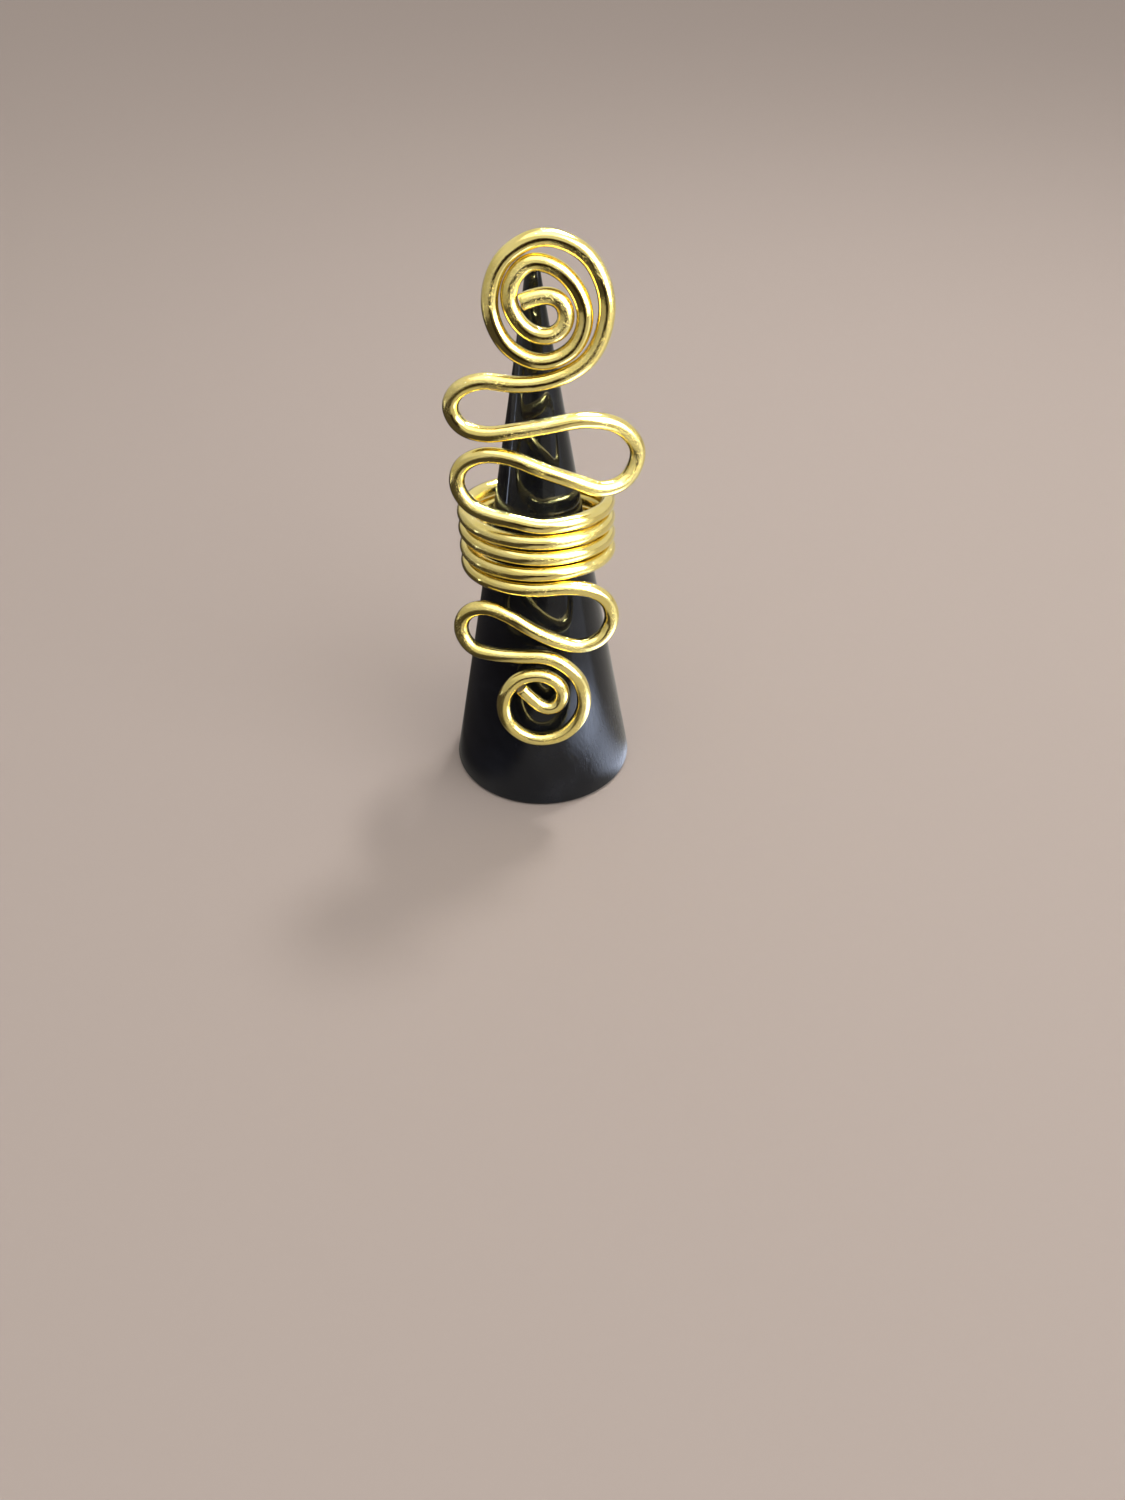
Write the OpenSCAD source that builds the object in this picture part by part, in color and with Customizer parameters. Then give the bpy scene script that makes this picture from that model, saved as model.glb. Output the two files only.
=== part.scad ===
// Full-finger wire ring on a tapered display cone.
// The ring is one round wire: a spiral, three bends, a finger band, two bends and a smaller spiral.
// Units are millimetres. The cone stands on z = 0 and the front of the ring faces -y.

/* [Display cone] */
// Height of the cone
cone_height = 69.5; // [60:0.5:90]
// Diameter across the base
base_diameter = 25; // [23:0.5:30]
// Diameter just under the rounded tip
tip_diameter = 1.5; // [1:0.1:2]
// How hollow the flank is, 1 is straight
flare = 1.04; // [1:0.01:1.06]
// Rounding of the base edge
base_edge = 0.5; // [0.2:0.1:1]

/* [Wire] */
// Diameter of the round wire
wire_diameter = 1.85; // [1.5:0.05:1.9]
// Sides of the wire section
wire_sides = 12; // [8:2:16]
// Longest step along the wire
wire_step = 1.5; // [1:0.1:3]

/* [Finger band] */
// Inner diameter of the band
band_bore = 16.1; // [15.5:0.1:19]
// Full turns of wire in the band
band_turns = 4; // [2:1:5]
// Drop of the wire in one turn
coil_pitch = 2.05; // [2:0.05:2.6]
// How far the left side of the first turns is pushed up
coil_lift = 0.4; // [0:0.05:0.4]
// Turns that are pushed up
lifted_turns = 2; // [0:1:3]

/* [Upper spiral] */
// Centre of the spiral: sideways, and above the first band pass
upper_centre = [1.9, 24.55];
// Radius that the outer turn grows from
upper_start = 2.7; // [2.6:0.05:2.8]
// Growth of the radius in one turn
upper_growth = 2; // [1.9:0.05:2.2]
// Height of the spiral over its width
upper_stretch = 1.09; // [1:0.01:1.12]

/* [Lower spiral] */
// Centre of the spiral: sideways, and above the last band pass
lower_centre = [-0.7, -16.6];
// Radius where the spiral starts
lower_start = 3.4; // [3.2:0.1:3.8]
// Growth of the radius in one turn
lower_growth = 2.5; // [2.2:0.05:2.8]
// Height of the spiral over its width
lower_stretch = 1.1; // [1:0.01:1.15]

/* [Front sheet] */
// How fast the bends wrap round the finger
bow = 0.018; // [0:0.002:0.03]
// Lean of the lower bends towards the finger
lean = 0.045; // [0:0.005:0.06]

/* [Seat on the cone] */
// Sideways, depth and height of the band axis at the first pass
seat = [-0.25, 0.1, 41];
// Backward tilt of the ring
seat_tilt = 7.5; // [5:0.5:9]
// Sideways roll of the ring
seat_roll = 1.3; // [0:0.1:3]

/* [Preview] */
// Raise the ring along the cone axis
lift = 0; // [0:1:65]

/* [Hidden] */
gold = [0.83, 0.69, 0.36];
black = [0.06, 0.06, 0.07];
wire_radius = wire_diameter / 2;
band_radius = band_bore / 2 + wire_radius;
last_pass = -band_turns * coil_pitch;
steps_per_turn = 12;

// Hand-bent stretches, as [sideways, height] on the front sheet.
// Inner end and second turn of the upper spiral, from its cut end.
upper_hook = [
    [-0.5, 25], [1, 25.5], [2.7, 25.6], [3.9, 24.9], [4.3, 23.7], [4, 22.4], [2.6, 21.5],
    [1.1, 21.6], [-0.3, 22.4], [-1.3, 23.8], [-1.8, 25.8], [-1.1, 27.6], [0.7, 29], [2.8, 28.6],
    [5.3, 26.4], [6.3, 23.3], [5.1, 20.3], [1.7, 18.8]
];
// Left, right and left bends between the upper spiral and the band.
upper_path = [
    [-1.5, 16.5], [-5.5, 17], [-8, 16], [-9, 14], [-8, 11.8], [-5.5, 11],
    [-2, 11.3], [2, 11.8], [6.5, 12.1], [10.5, 10.5], [12.2, 7.5], [10.8, 4.5], [8, 3.8],
    [5, 5], [1, 6.7], [-3, 8.4], [-6, 8.5], [-8.5, 6.9], [-9, 4.9], [-7.8, 2.6],
    [-5.4, 1.4], [-2.5, 0.7]
];
// Right and left bends under the band, measured from the last pass.
lower_path = [
    [3.5, 0], [6.5, -0.8], [8.5, -2.8], [8.9, -5.4], [7.4, -7.8], [4.9, -8.4],
    [2, -7.4], [-1, -5.7], [-4, -3.6], [-6.5, -2.6], [-9, -3.4], [-10.1, -5.8],
    [-9, -8.4], [-6, -9.2], [-3, -9.4]
];
// Inner end of the lower spiral, up to its cut end.
lower_hook = [[2.3, -16], [1.4, -17.3], [0, -17.3], [-1.4, -16], [-2.9, -14.2]];

// Depth of the front sheet at a sideways place and height.
function above(z) = z > 0 ? z : last_pass - z;
function wrap(z) = max(0, min(1, ((z > 0 ? 18 : 14) - above(z)) / 6));
function depth(x, z) = -band_radius + bow * wrap(z) * x * x + (z < last_pass ? lean * above(z) : 0);
function on_sheet(p, base) = [p[0], depth(p[0], p[1] + base), p[1] + base];

// Points of a flat spiral, from one angle to another.
function spiral(centre, start, growth, stretch, angles) = [
    for (a = angles)
        let (r = start + growth * abs(a) / 360)
            [centre[0] + r * cos(a), centre[1] + stretch * r * sin(a)]
];

// How far a point of the band is pushed up, at an angle along the coil.
function pushed(a) = a < 360 * lifted_turns ? coil_lift * max(0, -sin(a)) : 0;

// Points of the band, from the front of the first pass to the front of the last.
function band_points() = [
    for (i = [0 : band_turns * steps_per_turn])
        let (a = 360 * i / steps_per_turn)
            [band_radius * sin(a), -band_radius * cos(a), pushed(a) - coil_pitch * a / 360]
];

upper_turns = spiral(upper_centre, upper_start, upper_growth, upper_stretch, [-495 : -45 : -810]);
lower_turns = spiral(lower_centre, lower_start, lower_growth, lower_stretch, [435 : -45 : 30]);

// Guide points of each stretch of the wire, in order.
stretches = [
    [for (p = concat(upper_hook, upper_turns)) on_sheet(p, 0)],
    [for (p = upper_path) on_sheet(p, 0)],
    band_points(),
    [for (p = lower_path) on_sheet(p, last_pass)],
    [for (p = concat(lower_turns, lower_hook)) on_sheet(p, last_pass)]
];
guide = [for (s = stretches) each s];
last = len(guide) - 1;

// Number of guide points before a stretch.
function start_of(s) = s == 0 ? 0 : start_of(s - 1) + len(stretches[s - 1]);

// Distance from a guide point to the next.
function gap(i) = norm(guide[i + 1] - guide[i]);

// Direction of the wire at a guide point.
function heading(i) =
    i == 0 ? (guide[1] - guide[0]) / gap(0)
    : i == last ? (guide[last] - guide[last - 1]) / gap(last - 1)
    : let (a = gap(i - 1), b = gap(i))
        ((guide[i] - guide[i - 1]) * b / a + (guide[i + 1] - guide[i]) * a / b) / (a + b);

// Smooth curve from guide point i to the next, t from 0 to 1.
function between(i, t) =
    let (h = gap(i), u = t * t, v = t * t * t)
        (2 * v - 3 * u + 1) * guide[i] + (v - 2 * u + t) * h * heading(i)
        + (3 * u - 2 * v) * guide[i + 1] + (v - u) * h * heading(i + 1);

// Sections in one span, and sections before a guide point.
function cuts(i) = ceil(gap(i) / wire_step);
cut_counts = [for (i = [0 : last - 1]) cuts(i)];
counts_before = [for (i = 0, n = 0; i <= last; n = n + (i < last ? cut_counts[i] : 0), i = i + 1) n];

centre_line = concat(
    [for (i = [0 : last - 1]) for (k = [0 : cut_counts[i] - 1]) between(i, k / cut_counts[i])],
    [guide[last]]
);
rings = len(centre_line);

// Unit direction of the centre line at each section.
function unit(v) = v / norm(v);
along = [
    for (i = [0 : rings - 1])
        unit(centre_line[min(i + 1, rings - 1)] - centre_line[max(i - 1, 0)])
];

// A side direction carried along the wire without twist.
function carried(n, t) = unit(n - t * (n * t));
side = [
    for (i = 0, n = carried([0, 1, 0], along[0]); i < rings;
        i = i + 1, n = i < rings ? carried(n, along[i]) : n) n
];

// Points of the wire section number i.
function section(i) =
    let (s = side[i], t = cross(along[i], side[i]))
        [for (k = [0 : wire_sides - 1])
            let (a = 360 * k / wire_sides)
                centre_line[i] + wire_radius * (cos(a) * s + sin(a) * t)];

// Wire from one section to another, closed with flat ends.
module wire(first, final) {
    n = wire_sides;
    m = final - first;
    points = [for (i = [first : final]) each section(i)];
    start_cap = [[for (k = [0 : n - 1]) k]];
    end_cap = [[for (k = [n - 1 : -1 : 0]) m * n + k]];
    walls = [
        for (i = [0 : m - 1]) for (k = [0 : n - 1])
            let (a = i * n + k, b = i * n + (k + 1) % n)
                each [[a, a + n, b], [b, a + n, b + n]]
    ];
    polyhedron(points = points, faces = concat(start_cap, walls, end_cap), convexity = 10);
}

// Places the ring on the cone.
module seated() {
    translate([seat[0], seat[1], seat[2] + lift])
        rotate([-seat_tilt, -seat_roll, 0])
            children();
}

// One stretch of the ring, from its first guide point to the next stretch.
module stretch(s, from_next, to_next) {
    first = counts_before[start_of(s) - from_next];
    final = s == len(stretches) - 1 ? rings - 1 : counts_before[start_of(s + 1) - to_next];
    color(gold) seated() wire(first, final);
}

// Half outline of the cone, from the base centre to the tip.
flank_steps = 24;
tip_radius = tip_diameter / 2;
flank_top = cone_height - 0.6 * tip_radius;
base_radius = base_diameter / 2;
function flank(z) = tip_radius + (base_radius - tip_radius) * pow(1 - z / flank_top, flare);
cone_outline = concat(
    [[0, 0]],
    [for (i = [0 : 4])
        let (a = 90 * i / 4)
            [flank(base_edge) - base_edge * (1 - sin(a)), base_edge * (1 - cos(a))]],
    [for (i = [1 : flank_steps])
        let (z = base_edge + (flank_top - base_edge) * i / flank_steps)
            [flank(z), z]],
    [for (i = [1 : 5])
        let (a = 90 * i / 6)
            [tip_radius * cos(a), flank_top + 0.6 * tip_radius * sin(a)]],
    [[0, cone_height]]
);

// Moulded cone with a flat base.
module display_cone() {
    color(black)
        rotate_extrude($fn = 96)
            polygon(cone_outline);
}

// Flat spiral at the fingertip end.
module upper_spiral() {
    stretch(0, 0, 1);
}

// Left, right and left bends above the band.
module upper_bends() {
    stretch(1, 1, 0);
}

// Coil that goes round the finger.
module finger_band() {
    stretch(2, 0, 1);
}

// Right and left bends below the band.
module lower_bends() {
    stretch(3, 1, 0);
}

// Flat spiral at the knuckle end.
module lower_spiral() {
    stretch(4, 0, 0);
}

display_cone();
upper_spiral();
upper_bends();
finger_band();
lower_bends();
lower_spiral();
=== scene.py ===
# %% [markdown]
# # A wire ring on a display cone
#
# The object is a full-finger ring, bent from one round gold-coloured wire, that stands on a small
# black cone. It is built in three steps: the cone is turned from a circle, the wire follows one long
# curve, and both get finishes made only of shader nodes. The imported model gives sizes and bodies.

# %% Load the frame
import math

import bmesh
import bpy
from mathutils import Matrix, Vector


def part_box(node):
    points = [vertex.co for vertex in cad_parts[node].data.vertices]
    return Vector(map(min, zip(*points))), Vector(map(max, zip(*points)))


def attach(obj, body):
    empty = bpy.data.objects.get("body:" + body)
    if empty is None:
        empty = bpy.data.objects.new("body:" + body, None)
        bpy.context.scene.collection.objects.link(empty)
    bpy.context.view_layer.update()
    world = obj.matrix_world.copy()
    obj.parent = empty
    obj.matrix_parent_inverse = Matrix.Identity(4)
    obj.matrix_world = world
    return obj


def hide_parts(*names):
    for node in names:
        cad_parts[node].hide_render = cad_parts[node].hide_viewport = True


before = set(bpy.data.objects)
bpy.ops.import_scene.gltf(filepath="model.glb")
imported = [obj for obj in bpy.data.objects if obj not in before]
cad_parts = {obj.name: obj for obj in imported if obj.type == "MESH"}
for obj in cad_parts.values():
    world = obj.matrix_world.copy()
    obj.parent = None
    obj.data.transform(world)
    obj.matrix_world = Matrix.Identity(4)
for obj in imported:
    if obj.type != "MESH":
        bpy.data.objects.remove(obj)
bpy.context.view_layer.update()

MM = 0.001
print("nodes:", sorted(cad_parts))

# %% [markdown]
# ## The camera
#
# A camera can be aimed by turning it with angles, or by a tracking constraint. Angles are used here:
# the lens looks down at the ring from the front, a hand's width away, as for a close product view.
# Close cameras make near things large, so the top spiral looks bigger than the bottom one.

# %% Camera
CAMERA_PLACE = Vector((0, -125.7, 109.8)) * MM
CAMERA_DOWN = math.radians(41.3)
CAMERA_TURN = math.radians(-1.3)
CAMERA_ROLL = math.radians(-0.4)
CAMERA_LENS = 27.05

bpy.ops.object.camera_add(location=CAMERA_PLACE)
camera = bpy.context.object
camera.name = "camera"
camera.data.lens = CAMERA_LENS
camera.data.clip_start = 0.005
camera.matrix_world = (
    Matrix.Translation(CAMERA_PLACE)
    @ Matrix.Rotation(CAMERA_TURN, 4, "Z")
    @ Matrix.Rotation(math.pi / 2 - CAMERA_DOWN, 4, "X")
    @ Matrix.Rotation(CAMERA_ROLL, 4, "Z")
)
bpy.context.scene.camera = camera
print("camera looks down", round(math.degrees(CAMERA_DOWN), 1), "degrees")


# %% [markdown]
# ## Small helpers for modelling
#
# Operators act on whatever is selected, so each step starts with nothing selected and picks faces or
# edges by their place. These helpers keep that in one spot.

# %% Selection helpers
def clear_selection():
    """Nothing selected, and object mode."""
    if bpy.context.object and bpy.context.object.mode != "OBJECT":
        bpy.ops.object.mode_set(mode="OBJECT")
    bpy.ops.object.select_all(action="DESELECT")


def pick(piece, kind, wanted):
    """Selects the verts, edges or faces of a mesh for which wanted(element) is true."""
    bpy.ops.mesh.select_mode(type={"verts": "VERT", "edges": "EDGE", "faces": "FACE"}[kind])
    bpy.ops.mesh.select_all(action="DESELECT")
    shape = bmesh.from_edit_mesh(piece.data)
    for item in getattr(shape, kind):
        if wanted(item):
            item.select_set(True)
    shape.select_flush_mode()
    bmesh.update_edit_mesh(piece.data)


def triangle_count(piece):
    """How many triangles a mesh has."""
    return sum(len(p.vertices) - 2 for p in piece.data.polygons)


# %% [markdown]
# ## The display cone
#
# The real cone is moulded or turned acrylic: a straight, slightly hollow flank, a small rounded tip
# and a flat base with a softened edge. A cone primitive has only a straight side, so the shape is
# drawn up from a circle instead: each extrude makes the next ring and a resize gives it its radius.

# %% Cone profile
cone_low, cone_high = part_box("display_cone")
CONE_HEIGHT = cone_high[2] - cone_low[2]
BASE_RADIUS = 12.5 * MM
TIP_RADIUS = 0.75 * MM
TIP_RISE = 0.6 * TIP_RADIUS
BASE_EDGE = 0.5 * MM
FLARE = 1.04
FLANK_TOP = CONE_HEIGHT - TIP_RISE
FLANK_RINGS = 32
CORNER_STEPS = 6
CONE_SIDES = 128


def flank(z):
    """Radius of the cone at a height."""
    return TIP_RADIUS + (BASE_RADIUS - TIP_RADIUS) * (1 - z / FLANK_TOP) ** FLARE


def quarter(steps):
    """Angles of a rounded corner, in radians."""
    return [math.pi / 2 * i / steps for i in range(steps + 1)]


foot = [
    (flank(BASE_EDGE) - BASE_EDGE * (1 - math.sin(a)), BASE_EDGE * (1 - math.cos(a)))
    for a in quarter(CORNER_STEPS)
]
rise = (FLANK_TOP - BASE_EDGE) / FLANK_RINGS
flank_heights = [BASE_EDGE + rise * i for i in range(1, FLANK_RINGS + 1)]
flank_rings = [(flank(z), z) for z in flank_heights]
tip = [
    (TIP_RADIUS * math.cos(a), FLANK_TOP + TIP_RISE * math.sin(a))
    for a in quarter(CORNER_STEPS)[1:-1]
]
cone_profile = foot + flank_rings + tip
print("profile rings:", len(cone_profile), "height in mm:", round(CONE_HEIGHT / MM, 2))

# %% Turn the cone
clear_selection()
bpy.ops.mesh.primitive_circle_add(
    vertices=CONE_SIDES, radius=cone_profile[0][0], fill_type="NGON",
)
cone = bpy.context.object
cone.name = "cone_shell"
bpy.ops.object.mode_set(mode="EDIT")
pick(cone, "edges", lambda e: True)
for (r0, z0), (r1, z1) in zip(cone_profile, cone_profile[1:]):
    bpy.ops.mesh.extrude_edges_move(TRANSFORM_OT_translate={"value": (0, 0, z1 - z0)})
    bpy.ops.transform.resize(value=(r1 / r0, r1 / r0, 1), center_override=(0, 0, z1))
bpy.ops.mesh.extrude_edges_move(TRANSFORM_OT_translate={"value": (0, 0, CONE_HEIGHT - z1)})
bpy.ops.mesh.merge(type="CENTER")
bpy.ops.mesh.select_all(action="SELECT")
bpy.ops.mesh.normals_make_consistent(inside=False)
bpy.ops.object.mode_set(mode="OBJECT")
bpy.ops.object.shade_smooth_by_angle(angle=math.radians(40))
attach(cone, "stand")
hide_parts("display_cone")
print("cone triangles:", triangle_count(cone))

# %% [markdown]
# ## The path of the wire
#
# The whole ring is one wire, so it is one curve. Its path is laid out flat, on the sheet in front of
# the finger, as sideways and height values in millimetres. Spirals and the coil follow formulas. The
# free bends are a few guide points, the places where a maker would push the wire round a peg.

# %% Wire sizes
WIRE_RADIUS = 0.925
BAND_RADIUS = 16.1 / 2 + WIRE_RADIUS
BAND_TURNS = 4
COIL_PITCH = 2.05
COIL_LIFT = 0.4
LIFTED_TURNS = 2
LAST_PASS = -BAND_TURNS * COIL_PITCH
STEPS_PER_TURN = 12
BOW = 0.018
LEAN = 0.045

UPPER_HOOK = [
    (-0.5, 25), (1, 25.5), (2.7, 25.6), (3.9, 24.9), (4.3, 23.7), (4, 22.4), (2.6, 21.5),
    (1.1, 21.6), (-0.3, 22.4), (-1.3, 23.8), (-1.8, 25.8), (-1.1, 27.6), (0.7, 29), (2.8, 28.6),
    (5.3, 26.4), (6.3, 23.3), (5.1, 20.3), (1.7, 18.8),
]
UPPER_BENDS = [
    (-1.5, 16.5), (-5.5, 17), (-8, 16), (-9, 14), (-8, 11.8), (-5.5, 11),
    (-2, 11.3), (2, 11.8), (6.5, 12.1), (10.5, 10.5), (12.2, 7.5), (10.8, 4.5), (8, 3.8),
    (5, 5), (1, 6.7), (-3, 8.4), (-6, 8.5), (-8.5, 6.9), (-9, 4.9), (-7.8, 2.6),
    (-5.4, 1.4), (-2.5, 0.7),
]
LOWER_BENDS = [
    (3.5, 0), (6.5, -0.8), (8.5, -2.8), (8.9, -5.4), (7.4, -7.8), (4.9, -8.4),
    (2, -7.4), (-1, -5.7), (-4, -3.6), (-6.5, -2.6), (-9, -3.4), (-10.1, -5.8),
    (-9, -8.4), (-6, -9.2), (-3, -9.4),
]
LOWER_HOOK = [(2.3, -16), (1.4, -17.3), (0, -17.3), (-1.4, -16), (-2.9, -14.2)]


# %% From the flat layout to the bent sheet
def on_sheet(x, height, base=0):
    """A guide point on the front sheet, which wraps a little round the finger near the band."""
    z = height + base
    above = z if z > 0 else LAST_PASS - z
    wrap = max(0, min(1, ((18 if z > 0 else 14) - above) / 6))
    lean = LEAN * above if z < LAST_PASS else 0
    return Vector((x, -BAND_RADIUS + BOW * wrap * x * x + lean, z))


def spiral(centre, start, growth, stretch, angles):
    """Points of a flat spiral whose radius grows by the same amount each turn."""
    points = []
    for a in angles:
        r = start + growth * abs(a) / 360
        points.append((
            centre[0] + r * math.cos(math.radians(a)),
            centre[1] + stretch * r * math.sin(math.radians(a)),
        ))
    return points


def coil():
    """Points of the finger band, the first turns pushed up on the left."""
    points = []
    for i in range(BAND_TURNS * STEPS_PER_TURN + 1):
        turns = i / STEPS_PER_TURN
        a = math.tau * turns
        pushed = COIL_LIFT * max(0, -math.sin(a)) if turns < LIFTED_TURNS else 0
        height = pushed - COIL_PITCH * turns
        points.append(Vector((BAND_RADIUS * math.sin(a), -BAND_RADIUS * math.cos(a), height)))
    return points


upper_turns = spiral((1.9, 24.55), 2.7, 2, 1.09, range(-495, -811, -45))
lower_turns = spiral((-0.7, -16.6), 3.4, 2.5, 1.1, range(435, 29, -45))
guide = (
    [on_sheet(*p) for p in UPPER_HOOK + upper_turns + UPPER_BENDS]
    + coil()
    + [on_sheet(*p, LAST_PASS) for p in LOWER_BENDS + lower_turns + LOWER_HOOK]
)
print("guide points:", len(guide))

# %% [markdown]
# A smooth curve through the guide points uses a Hermite span between each pair, with the heading at
# a point taken from both its neighbours. The curve is then sampled evenly and relaxed a little, which
# takes out the small changes of bend that would show as kinks in a bright reflection.


# %% Smooth centre line
def headings(points):
    """Direction of travel at each guide point."""
    gaps = [(b - a).length for a, b in zip(points, points[1:])]
    found = [(points[1] - points[0]) / gaps[0]]
    for i in range(1, len(points) - 1):
        a, b = gaps[i - 1], gaps[i]
        before, after = points[i] - points[i - 1], points[i + 1] - points[i]
        found.append((before * (b / a) + after * (a / b)) / (a + b))
    found.append((points[-1] - points[-2]) / gaps[-1])
    return gaps, found


def smooth_line(points, per_span):
    """Hermite curve through the points."""
    gaps, way = headings(points)
    line = []
    for i, gap in enumerate(gaps):
        for k in range(per_span):
            t = k / per_span
            u, v = t * t, t * t * t
            line.append(
                (2 * v - 3 * u + 1) * points[i] + (v - 2 * u + t) * gap * way[i]
                + (3 * u - 2 * v) * points[i + 1] + (v - u) * gap * way[i + 1]
            )
    return line + [points[-1]]


def even_steps(line, step):
    """The same line with points a fixed distance apart, its ends kept."""
    total = sum((b - a).length for a, b in zip(line, line[1:]))
    count = round(total / step)
    step = total / count
    spaced, walked, want = [line[0]], 0, step
    for a, b in zip(line, line[1:]):
        length = (b - a).length
        while walked + length >= want and len(spaced) < count:
            spaced.append(a.lerp(b, (want - walked) / length))
            want += step
        walked += length
    return spaced + [line[-1]], total


def relax(line, passes):
    """Moves each inner point towards the middle of its neighbours."""
    for _ in range(passes):
        line = (
            [line[0]]
            + [p * 0.5 + (a + b) * 0.25 for a, p, b in zip(line, line[1:], line[2:])]
            + [line[-1]]
        )
    return line


WIRE_STEP = 0.35
SPAN_STEPS = 16
RELAX_PASSES = 6
flat_line, wire_length = even_steps(smooth_line(guide, SPAN_STEPS), WIRE_STEP)
flat_line = relax(flat_line, RELAX_PASSES)
print("wire length in mm:", round(wire_length, 1), "samples:", len(flat_line))

# %% Seat the ring on the cone
SEAT = Vector((-0.25, 0.1, 41))
SEAT_ROLL = math.radians(-1.3)
SEAT_TILT = math.radians(-7.5)
seated = (
    Matrix.Translation(SEAT)
    @ Matrix.Rotation(SEAT_ROLL, 4, "Y")
    @ Matrix.Rotation(SEAT_TILT, 4, "X")
)
centre_line = [(seated @ p) * MM for p in flat_line]
print("ring top in mm:", round(max(p.z for p in centre_line) / MM + WIRE_RADIUS, 1))

# %% [markdown]
# ## The wire itself
#
# A wire could be swept by hand from a circle, but a curve with a round bevel is what Blender has for
# it: the curve keeps the section square to the path and adds texture coordinates, along and around.
# It is then made a mesh, its end caps are joined on, and the cut edges get a small chamfer.

# %% Sweep the wire
clear_selection()
bpy.ops.curve.primitive_bezier_curve_add()
wire = bpy.context.object
wire.name = "ring_wire"
path = wire.data
path.dimensions = "3D"
path.twist_mode = "MINIMUM"
path.splines.clear()
run = path.splines.new("POLY")
run.points.add(len(centre_line) - 1)
for point, place in zip(run.points, centre_line):
    point.co = (*place, 1)
path.bevel_depth = WIRE_RADIUS * MM
path.bevel_resolution = 10
path.use_fill_caps = True
bpy.ops.object.convert(target="MESH")
wire = bpy.context.object
wire.name = "ring_wire"
print("wire vertices:", len(wire.data.vertices))

# %% Close and chamfer the cut ends
ends = [
    (centre_line[0], (centre_line[0] - centre_line[1]).normalized()),
    (centre_line[-1], (centre_line[-1] - centre_line[-2]).normalized()),
]
END_REACH = WIRE_RADIUS * MM * 1.05
END_DEPTH = 0.02 * MM
CHAMFER = 0.12 * MM


def on_cut_face(place):
    """True for a point in the flat face at either end of the wire."""
    return any(
        abs((place - centre).dot(out)) < END_DEPTH and (place - centre).length < END_REACH
        for centre, out in ends
    )


bpy.ops.object.mode_set(mode="EDIT")
bpy.ops.mesh.select_all(action="SELECT")
bpy.ops.mesh.remove_doubles(threshold=0.001 * MM)
pick(wire, "faces", lambda f: all(on_cut_face(v.co) for v in f.verts))
bpy.ops.mesh.dissolve_limited(angle_limit=math.radians(5))
pick(wire, "edges", lambda e: all(on_cut_face(v.co) for v in e.verts))
bpy.ops.mesh.bevel(offset=CHAMFER, segments=2, affect="EDGES")
bpy.ops.mesh.select_all(action="SELECT")
bpy.ops.mesh.normals_make_consistent(inside=False)
bpy.ops.object.mode_set(mode="OBJECT")
bpy.ops.object.shade_smooth_by_angle(angle=math.radians(50))
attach(wire, "ring")
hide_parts("upper_spiral", "upper_bends", "finger_band", "lower_bends", "lower_spiral")
print("wire triangles:", triangle_count(wire))

# %% [markdown]
# ## Shader maths
#
# Finishes are sums and products of patterns. Wiring Math nodes by hand is slow to read, so a small
# class wraps a socket and lets ordinary Python signs add the nodes.


# %% Shader helpers
class Flow:
    """A node socket that can be added, subtracted and multiplied like a number."""

    def __init__(self, tree, socket):
        self.tree, self.socket = tree, socket

    def _maths(self, operation, first, second=None):
        given = {0: first}
        if second is not None:
            given[1] = second
        return node(self.tree, "ShaderNodeMath", {"operation": operation}, given)

    def __add__(self, other):
        return self._maths("ADD", self, other)

    def __radd__(self, other):
        return self._maths("ADD", other, self)

    def __sub__(self, other):
        return self._maths("SUBTRACT", self, other)

    def __rsub__(self, other):
        return self._maths("SUBTRACT", other, self)

    def __mul__(self, other):
        return self._maths("MULTIPLY", self, other)

    def __rmul__(self, other):
        return self._maths("MULTIPLY", other, self)

    def __abs__(self):
        return self._maths("ABSOLUTE", self)

    def wave(self, kind):
        """Sine or cosine of an angle in radians."""
        return self._maths(kind, self)


def feed(tree, made, inputs):
    """Gives sockets of a node their values or links."""
    for name, value in inputs.items():
        if isinstance(value, Flow):
            tree.links.new(value.socket, made.inputs[name])
        else:
            made.inputs[name].default_value = value


def node(tree, kind, settings=None, inputs=None, output=0):
    """Adds a node, with its settings first and then the values or links of its sockets."""
    made = tree.nodes.new(kind)
    for name, value in (settings or {}).items():
        setattr(made, name, value)
    feed(tree, made, inputs or {})
    return Flow(tree, made.outputs[output])


def parts_of(place):
    """The three numbers of a place."""
    split = node(place.tree, "ShaderNodeSeparateXYZ", {}, {0: place}).socket.node
    return [Flow(place.tree, part) for part in split.outputs]


def object_place(tree):
    """The place on a piece, in metres, which stays with the piece when it moves."""
    return node(tree, "ShaderNodeTexCoord", {}, {}, "Object")


def distance_to(place, spot):
    """How far a place is from a spot, in metres."""
    settings = {"operation": "DISTANCE"}
    return node(place.tree, "ShaderNodeVectorMath", settings, {0: place, 1: spot}, "Value")


def mixed(tree, amount, first, second):
    """A colour between two colours, the first where the amount is 0."""
    inputs = {0: amount, 6: first, 7: second}
    return node(tree, "ShaderNodeMix", {"data_type": "RGBA"}, inputs, 2)


def bump(height, distance):
    """A surface normal that follows a height pattern."""
    return node(height.tree, "ShaderNodeBump", {}, {"Height": height, "Distance": distance})


def new_finish(name):
    """An empty material, its node tree and its main shader."""
    finish = bpy.data.materials.new(name)
    finish.use_nodes = True
    tree = finish.node_tree
    return finish, tree, tree.nodes["Principled BSDF"]


def dress(piece, finish):
    """Gives a piece one finish."""
    piece.data.materials.clear()
    piece.data.materials.append(finish)


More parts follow.
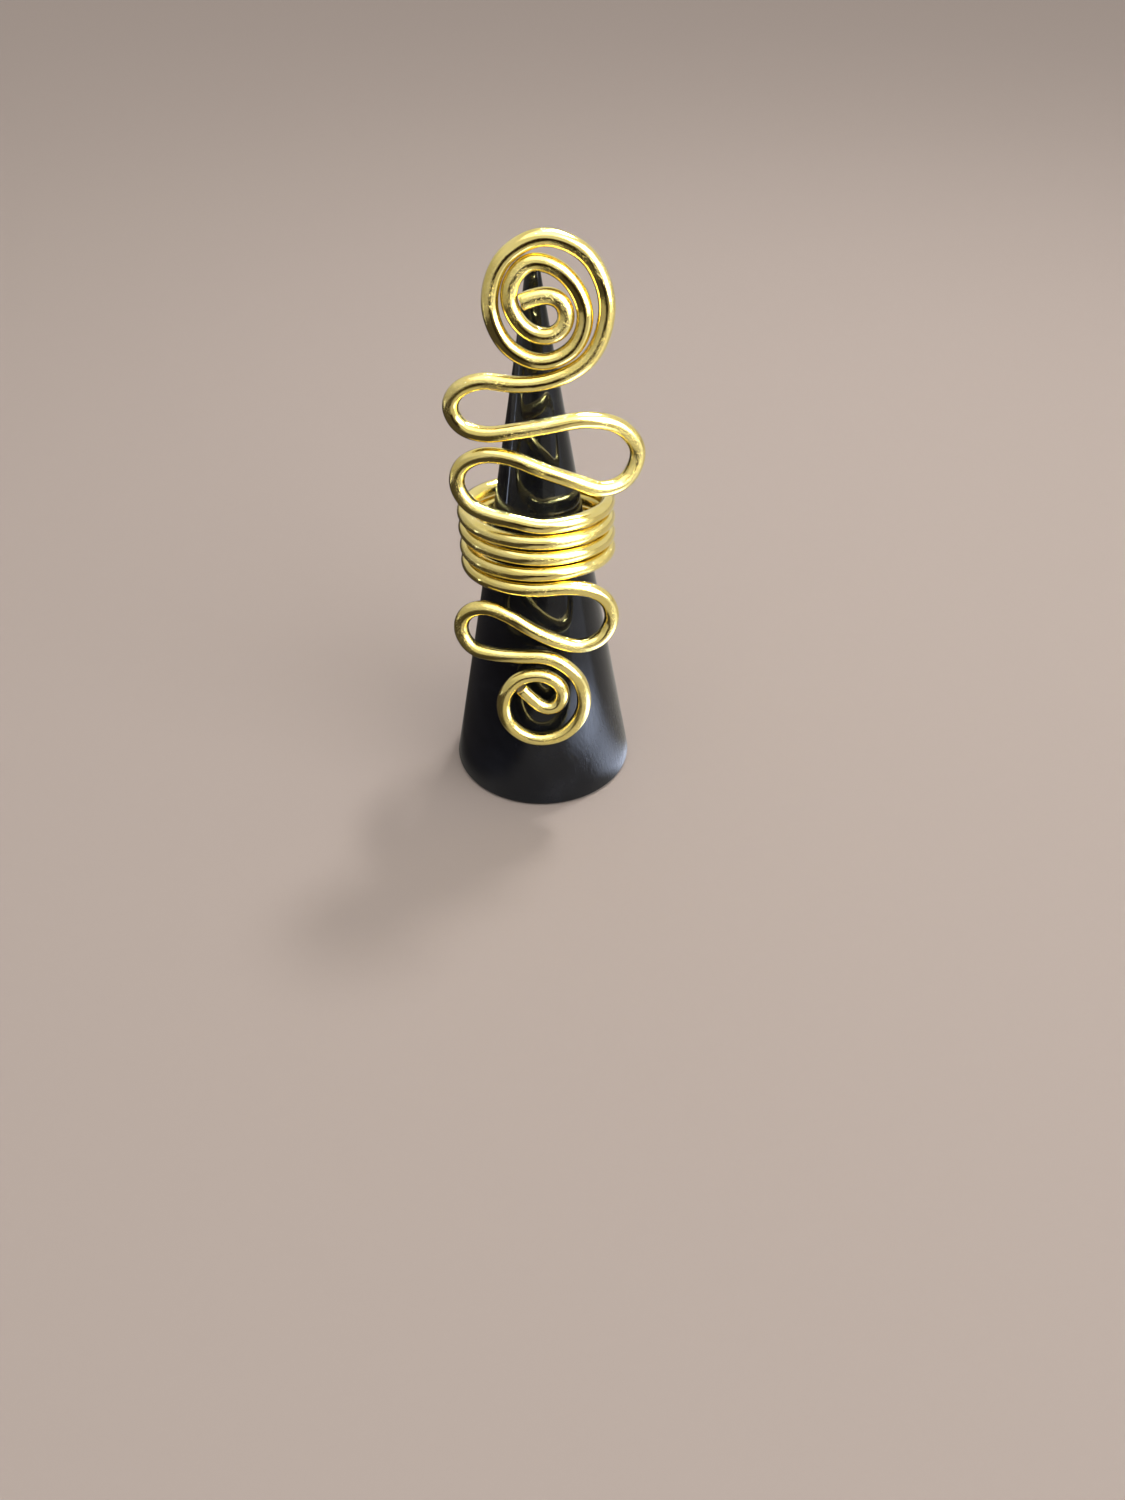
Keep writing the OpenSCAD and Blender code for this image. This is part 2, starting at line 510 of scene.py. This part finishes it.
def ease(value, low, high):
    """0 below low, 1 above high and smooth between."""
    return node(
        value.tree, "ShaderNodeMapRange", {"interpolation_type": "SMOOTHSTEP"},
        {"Value": value, "From Min": low, "From Max": high},
    )


def grain(place, scale, detail=2.0, rough=0.5):
    """Fractal noise from 0 to 1."""
    return node(
        place.tree, "ShaderNodeTexNoise", {},
        {"Vector": place, "Scale": scale, "Detail": detail, "Roughness": rough},
    )


MATT = {"Roughness": 1, "Specular IOR Level": 0}


# %% [markdown]
# ## Gold-coloured wire
#
# Drawn wire has faint lines along its length from the die, and hand bending leaves patches of tiny
# dents where pliers and pegs pressed it. A metal shader gives the gold. The wire's own texture
# coordinates run along it and around it, so the marks follow every bend. The place around the wire
# is used as a sine and a cosine, so that the pattern has no seam where it comes full circle.

# %% Coordinates on the wire
gold, tree, shader = new_finish("gold_wire")
run, around, _ = parts_of(node(tree, "ShaderNodeUVMap", {"uv_map": "UVMap"}))
along_mm, turn = run * wire_length, around * math.tau
across_a, across_b = turn.wave("COSINE") * WIRE_RADIUS, turn.wave("SINE") * WIRE_RADIUS


def on_wire(stretch):
    """A place on the wire in millimetres, with distance along it divided by stretch."""
    return node(
        tree, "ShaderNodeCombineXYZ", {},
        {"X": along_mm * (1 / stretch), "Y": across_a, "Z": across_b},
    )


print("texture coordinates:", [layer.name for layer in wire.data.uv_layers])

# %% Gold finish
die_lines = grain(on_wire(40), 9, 3, 0.7)
fine_lines = grain(on_wire(90), 26, 2, 0.6)
handled = ease(grain(on_wire(3), 0.55, 1), 0.44, 0.62)
dents = ease(grain(on_wire(1.6), 7.5, 3, 0.6), 0.56, 0.72)
specks = ease(grain(on_wire(1), 16, 2, 0.6), 0.63, 0.72) * handled
pebble = grain(on_wire(1.4), 4, 3, 0.6)
waviness = grain(on_wire(2.5), 0.9, 1)

DEEP_GOLD = (0.92, 0.745, 0.235, 1)
PALE_GOLD = (0.95, 0.79, 0.3, 1)
DULL_GOLD = (0.62, 0.4, 0.12, 1)
tone = mixed(tree, ease(waviness, 0.3, 0.7), DEEP_GOLD, PALE_GOLD)
raised = die_lines * 0.9 + fine_lines * 0.5 + pebble * 1.7 + waviness * 3
sunk = dents * handled * 2.4 + specks * 1.4
feed(tree, shader, {
    "Base Color": mixed(tree, specks * 0.55, tone, DULL_GOLD),
    "Metallic": 1,
    "Roughness": 0.05 + die_lines * 0.1 + handled * 0.06 + specks * 0.3,
    "Normal": bump(raised - sunk, 0.006 * MM),
})
dress(wire, gold)

# %% [markdown]
# The cutter shears the dyed skin, so the two cut ends show bare pale metal with saw-like lines. They
# are flat faces, so they are easy to pick by place and get a finish of their own.

# %% Bare cut ends
bare, tree, shader = new_finish("cut_end")
sheared = node(
    tree, "ShaderNodeMapping", {},
    {"Vector": object_place(tree), "Rotation": (0.3, 0.2, 0.5), "Scale": (400, 4000, 9000)},
)
teeth = grain(sheared, 1.0, 3, 0.6)
feed(tree, shader, {
    "Base Color": mixed(tree, teeth, (0.8, 0.68, 0.48, 1), (0.92, 0.86, 0.74, 1)),
    "Metallic": 1,
    "Roughness": 0.26 + teeth * 0.2,
    "Normal": bump(teeth, 0.02 * MM),
})
wire.data.materials.append(bare)
cut_faces = [f for f in wire.data.polygons if on_cut_face(f.center) and len(f.vertices) > 8]
for face in cut_faces:
    face.material_index = 1
print("cut faces:", len(cut_faces))

# %% [markdown]
# ## Black acrylic
#
# Polished acrylic is black with one sharp gloss. Daily use leaves hairline scratches that mostly run
# up and down the flank, with a worn patch low on the right, and a thin film of finger grease that
# makes some places a little duller and very slightly paler. The rest is roughness and relief.

# %% Acrylic finish
acrylic, tree, shader = new_finish("black_acrylic")
place = object_place(tree)
x_mm, y_mm, z_mm = (part * (1 / MM) for part in parts_of(place))


def up_the_flank(tilt):
    """A place in millimetres, squeezed in height so that noise runs up the flank."""
    return node(
        tree, "ShaderNodeCombineXYZ", {},
        {"X": x_mm + z_mm * tilt, "Y": y_mm + z_mm * tilt, "Z": z_mm * 0.12},
    )


def scratches(scale, tilt, width):
    """Hairlines that run nearly up the flank: thin bands of a stretched noise."""
    level = grain(up_the_flank(tilt), scale, 1, 0.4)
    return 1 - ease(abs(level - 0.5), 0, width)


WORN_PLACE = (0.0095, -0.006, 0.006)
worn_patch = 1 - ease(distance_to(place, WORN_PLACE), 0.003, 0.013)
film = ease(grain(place, 160, 3, 0.6), 0.4, 0.75)
base_wear = 1 - ease(z_mm, 0.3, 1.6)
hairlines = scratches(1.1, 0.05, 0.012) * 0.35 + scratches(1.7, -0.08, 0.02) * worn_patch
streaks = grain(up_the_flank(0.1), 3, 3, 0.7)
wear = film * 0.06 + hairlines * 0.16 + base_wear * 0.12 + worn_patch * streaks * 0.14
feed(tree, shader, {
    "Base Color": mixed(tree, film, (0.005, 0.0055, 0.008, 1), (0.01, 0.011, 0.015, 1)),
    "IOR": 1.49,
    "Specular IOR Level": 0.32,
    "Roughness": 0.05 + wear,
    "Normal": bump(streaks * (worn_patch * 5 + 0.3) - hairlines, 0.01 * MM),
})
dress(cone, acrylic)

# %% [markdown]
# ## Floor and light
#
# Shiny metal shows its surroundings, so the surroundings are designed like a small photo tent. The
# floor is plain and pale. A card lies on it that only reflections see, and a second one stands far
# in front. Their dark areas are painted shade, for the shaded floor and the dark room in front; they
# draw the dark line along the wire and keep the cone black. The sky is soft, brighter overhead and
# dimmer low on the left. Four area lights add highlights, and two of them are left out of diffuse
# light.

# %% Floor
clear_selection()
bpy.ops.mesh.primitive_plane_add(size=6)
floor = bpy.context.object
floor.name = "floor"
pale, tree, shader = new_finish("pale_floor")
feed(tree, shader, {"Base Color": (0.31, 0.26, 0.232, 1), **MATT})
dress(floor, pale)

# %% Two cards that only reflections see
CARD_GAP = 0.4 * MM

clear_selection()
bpy.ops.mesh.primitive_plane_add(size=5, location=(0, 0, CARD_GAP))
card = bpy.context.object
card.name = "reflection_card"
bpy.ops.mesh.primitive_plane_add(location=(0, -2.4, 0.19), rotation=(math.pi / 2, 0, 0))
far_card = bpy.context.object
far_card.name = "far_card"
far_card.scale = (1.1, 0.19, 1)
# A dark sheet of painted shade, for the dark room far in front; only reflections see it.
far_shade_finish, tree, shader = new_finish("far_card")
feed(tree, shader, {"Base Color": (0.09, 0.06, 0.04, 1), **MATT})
dress(far_card, far_shade_finish)
for hidden in (card, far_card):
    for seen_by in ("camera", "diffuse", "transmission", "volume_scatter", "shadow"):
        setattr(hidden, f"visible_{seen_by}", False)

# %% [markdown]
# The floor card is warm grey. A dark wedge of painted shade widens towards the front, and a painted
# shadow of the cone lies close on the left as a dark band. The card also glows in three places, as
# painted light from no lamp: a patch on the right, which the cone shows as a painted sheen, a thin
# line far to the left, and a round spot in front on the right.

# %% Painted shade and painted light on the floor card
warm, tree, shader = new_finish("reflection_card")
place = object_place(tree)
card_x, card_y, _ = parts_of(place)
to_front, to_left = card_y * -1, card_x * -1
# Painted shade, seen only in reflections: a dark wedge towards the front, and a dark band on the left
# for the cone's shadow.
wedge = 1 - ease(abs(card_x) - to_front * 0.24, -0.01, 0.012)
painted_shade_front = ease(to_front, 0.1, 0.125) * wedge
painted_shadow_left = ease(to_left, 0.008, 0.016) * (1 - ease(to_left, 0.15, 0.22))
painted_shade = 1 - (1 - painted_shade_front * 0.98) * (1 - painted_shadow_left * 0.9)
# Painted light: glowing places on the card, which is no lamp. Reflections show them as the cone's
# sheen, its left edge highlight and a glint on the band.
painted_sheen_patch = (
    ease(card_x, 0.009, 0.013) * (1 - ease(card_x, 0.025, 0.06) * 0.85)
    * ease(card_y + card_x * 0.9, -0.002, 0.006)
    * (1 - ease(card_y + card_x * 0.1, -0.006, 0.003))
)
painted_glow_line = (
    ease(to_left, 0.13, 0.15) * (1 - ease(to_left, 0.4, 0.5))
    * (1 - ease(abs(card_y), 0.001, 0.005))
)
SPOT_PLACE = (0.033, -0.026, 0)
painted_glow_spot = 1 - ease(distance_to(place, SPOT_PLACE), 0.01, 0.02)
painted_glow = painted_sheen_patch * 0.3 + painted_glow_line * 0.8 + painted_glow_spot * 0.35
feed(tree, shader, {
    # The card's colour: warm grey, turned near black by the painted shade and the painted shadow.
    "Base Color": mixed(tree, painted_shade, (0.34, 0.32, 0.29, 1), (0.008, 0.004, 0.002, 1)),
    # Painted light: the card glows where the glow mask is high.
    "Emission Color": mixed(tree, painted_glow, (0, 0, 0, 1), (0.66, 0.76, 1, 1)),
    "Emission Strength": 12,
    **MATT,
})
dress(card, warm)

# %% Sky
world = bpy.context.scene.world or bpy.data.worlds.new("world")
bpy.context.scene.world = world
world.use_nodes = True
tree = world.node_tree
way = node(tree, "ShaderNodeTexCoord")
bright_way = Vector((0.05, -0.3, 0.95)).normalized()
facing = node(
    tree, "ShaderNodeVectorMath", {"operation": "DOT_PRODUCT"}, {0: way, 1: bright_way}, "Value",
)
to_right, _, up = parts_of(way)
open_sky = ease(facing, 0.84, 0.92)
dim_left = ease(to_right * -1, 0.3, 0.8) * (1 - ease(up, 0.3, 0.6))
glow = (0.74 + open_sky * 1.5) * (1 - dim_left * 0.4)
feed(tree, tree.nodes["Background"], {"Color": (1, 0.985, 0.965, 1), "Strength": glow})


# %% Lights
def soft_panel(name, place, aim, size, power, colour=(1, 1, 1)):
    """A rectangular area light that points at a place."""
    bpy.ops.object.light_add(type="AREA", location=place)
    lamp = bpy.context.object
    lamp.name = name
    lamp.data.shape = "RECTANGLE"
    lamp.data.size, lamp.data.size_y = size
    lamp.data.energy = power
    lamp.data.color = colour
    lamp.rotation_euler = (Vector(aim) - Vector(place)).to_track_quat("-Z", "Y").to_euler()
    return lamp


MIDDLE = (0, 0, 0.04)
soft_panel("window", (0.36, -0.3, 0.34), MIDDLE, (0.4, 0.5), 1.6)
glare = soft_panel("window_glare", (0.34, -0.25, 0.25), MIDDLE, (0.34, 0.46), 3.4)
glare.visible_diffuse = False
soft_panel("lamp", (0.12, 0.14, 0.38), MIDDLE, (0.06, 0.04), 0.8)
glint = soft_panel("glint", (0.12, 0.14, 0.38), MIDDLE, (0.12, 0.09), 10, (0.75, 0.87, 1))
glint.visible_diffuse = False
bpy.context.scene.view_settings.view_transform = "Standard"
